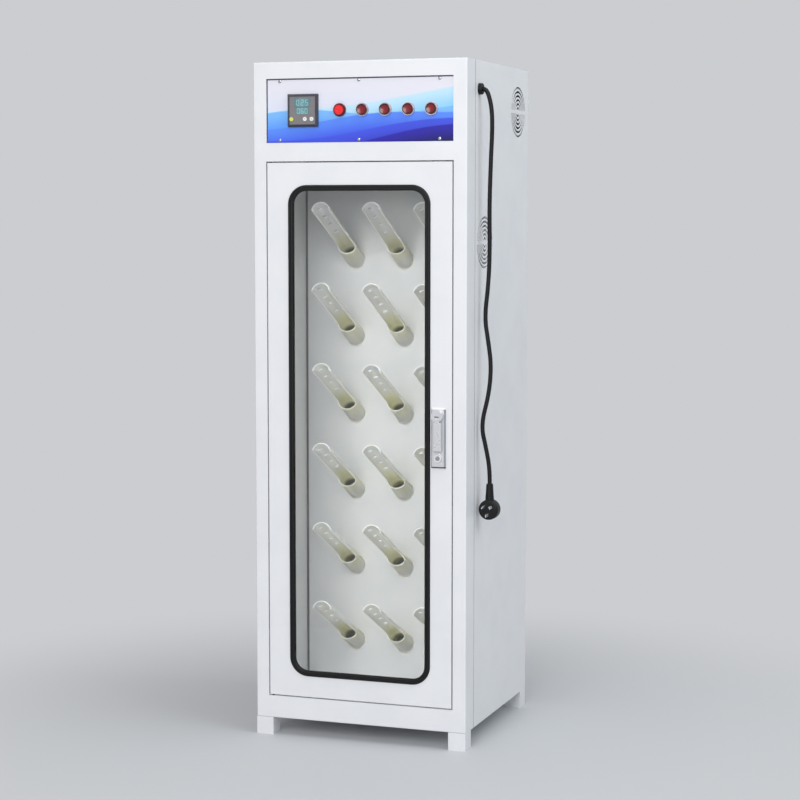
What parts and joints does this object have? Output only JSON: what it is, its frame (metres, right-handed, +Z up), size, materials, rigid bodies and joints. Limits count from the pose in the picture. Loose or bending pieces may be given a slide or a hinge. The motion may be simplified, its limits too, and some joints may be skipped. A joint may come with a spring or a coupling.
{
  "type": "shoe dryer",
  "caption": "Tall white sheet-steel shoe drying cabinet with a glazed door, slanted warm-air tubes inside, a control panel above the door, side vents and a mains cord.",
  "frame": {"origin": "on the floor, at the middle of the cabinet's outline without its cord", "axes": "+X to the right of someone facing the door, +Y to the back, +Z up"},
  "size_m": [0.5505, 0.4932, 1.52],
  "materials": {
    "white_paint": "satin powder coat",
    "inner_paint": "satin powder coat",
    "tube_plastic": "milky, slightly translucent",
    "panel_print": "printed, satin",
    "bright_steel": "bright",
    "controller_plastic": "fine grain",
    "display": "gloss",
    "key_yellow": "soft",
    "key_white": "soft",
    "bezel_metal": "bright",
    "red_lens": "gloss, lit from behind",
    "window_glass": "clear",
    "gasket_rubber": "smooth",
    "lock_zinc": "satin die-cast zinc",
    "black_steel": "satin",
    "fan_plastic": "moulded",
    "heater_steel": "heat-tinted",
    "relay_plastic": "moulded",
    "black_plastic": "satin",
    "cord_rubber": "smooth",
    "plug_brass": "nickel-plated"
  },
  "bodies": {
    "cabinet": {"front_frame": "white_paint", "left_side_panel": "white_paint", "right_side_panel": "white_paint", "top_panel": "white_paint", "rear_panel": "white_paint", "base_pan": "white_paint", "feet": "white_paint", "air_tube_1_1": "tube_plastic", "air_tube_1_2": "tube_plastic", "air_tube_1_3": "tube_plastic", "air_tube_2_1": "tube_plastic", "air_tube_2_2": "tube_plastic", "air_tube_2_3": "tube_plastic", "air_tube_3_1": "tube_plastic", "air_tube_3_2": "tube_plastic", "air_tube_3_3": "tube_plastic", "air_tube_4_1": "tube_plastic", "air_tube_4_2": "tube_plastic", "air_tube_4_3": "tube_plastic", "air_tube_5_1": "tube_plastic", "air_tube_5_2": "tube_plastic", "air_tube_5_3": "tube_plastic", "air_tube_6_1": "tube_plastic", "air_tube_6_2": "tube_plastic", "air_tube_6_3": "tube_plastic", "lamp_lens": "red_lens", "tube_wall": "inner_paint", "equipment_deck": "inner_paint", "blower_housing": "black_steel", "heater": "heater_steel", "contactor": "relay_plastic", "temperature_probe": "bright_steel", "exhaust_fan_frame": "black_steel", "control_panel": "panel_print", "pan_head_screws": "bright_steel", "controller_case": "controller_plastic", "controller_displays": "display", "lamp_and_button_bodies": "bezel_metal", "hinge_brackets": "bright_steel", "cable_gland": "black_plastic", "power_cord": "cord_rubber", "plug_body": "black_plastic", "plug_blades": "plug_brass"},
    "door": {"door_panel": "white_paint", "window_glass": "window_glass", "window_gasket": "gasket_rubber", "hinge_pins": "bright_steel", "lock_plate": "lock_zinc"},
    "lock_rotor": {"lock_rotor": "lock_zinc"},
    "lock_handle": {"lock_handle": "lock_zinc"},
    "lock_button": {"lock_button": "lock_zinc"},
    "push_button_1": {"push_button_1": "red_lens"},
    "push_button_2": {"push_button_2": "red_lens"},
    "push_button_3": {"push_button_3": "red_lens"},
    "push_button_4": {"push_button_4": "red_lens"},
    "set_key": {"set_key": "key_yellow"},
    "down_key": {"down_key": "key_white"},
    "up_key": {"up_key": "key_white"},
    "blower_wheel": {"blower_wheel": "fan_plastic"},
    "exhaust_fan_rotor": {"exhaust_fan_rotor": "fan_plastic"}
  },
  "joints": [
    {"name": "door_hinge", "type": "hinge", "parent": "cabinet", "child": "door", "pos_m": [-0.211, -0.2246, 0.69595], "axis": [0, 0, -1], "range_deg": [0, 110]},
    {"name": "lock_rotor_turn", "type": "hinge", "parent": "door", "child": "lock_rotor", "pos_m": [0.187, -0.2306, 0.7447], "axis": [0, 1, 0], "range_deg": [0, 90]},
    {"name": "lock_handle_tilt", "type": "hinge", "parent": "lock_rotor", "child": "lock_handle", "pos_m": [0.187, -0.2433, 0.7387], "axis": [-1, 0, 0], "range_deg": [0, 40]},
    {"name": "lock_button_press", "type": "slide", "parent": "door", "child": "lock_button", "axis": [0, 1, 0], "range_m": [0, 0.003], "stiffness_N_per_m": 500},
    {"name": "blower_spin", "type": "hinge", "parent": "cabinet", "child": "blower_wheel", "pos_m": [0.1925, 0.1594, 1.42], "axis": [1, 0, 0], "continuous": true},
    {"name": "exhaust_fan_spin", "type": "hinge", "parent": "cabinet", "child": "exhaust_fan_rotor", "pos_m": [0.2295, -0.0988, 1.1217], "axis": [1, 0, 0], "continuous": true},
    {"name": "push_button_1_press", "type": "slide", "parent": "cabinet", "child": "push_button_1", "axis": [0, 1, 0], "range_m": [0, 0.0035], "stiffness_N_per_m": 600},
    {"name": "push_button_2_press", "type": "slide", "parent": "cabinet", "child": "push_button_2", "axis": [0, 1, 0], "range_m": [0, 0.0035], "stiffness_N_per_m": 600},
    {"name": "push_button_3_press", "type": "slide", "parent": "cabinet", "child": "push_button_3", "axis": [0, 1, 0], "range_m": [0, 0.0035], "stiffness_N_per_m": 600},
    {"name": "push_button_4_press", "type": "slide", "parent": "cabinet", "child": "push_button_4", "axis": [0, 1, 0], "range_m": [0, 0.0035], "stiffness_N_per_m": 600},
    {"name": "set_key_press", "type": "slide", "parent": "cabinet", "child": "set_key", "axis": [0, 1, 0], "range_m": [0, 0.0008], "stiffness_N_per_m": 900},
    {"name": "down_key_press", "type": "slide", "parent": "cabinet", "child": "down_key", "axis": [0, 1, 0], "range_m": [0, 0.0008], "stiffness_N_per_m": 900},
    {"name": "up_key_press", "type": "slide", "parent": "cabinet", "child": "up_key", "axis": [0, 1, 0], "range_m": [0, 0.0008], "stiffness_N_per_m": 900}
  ]
}
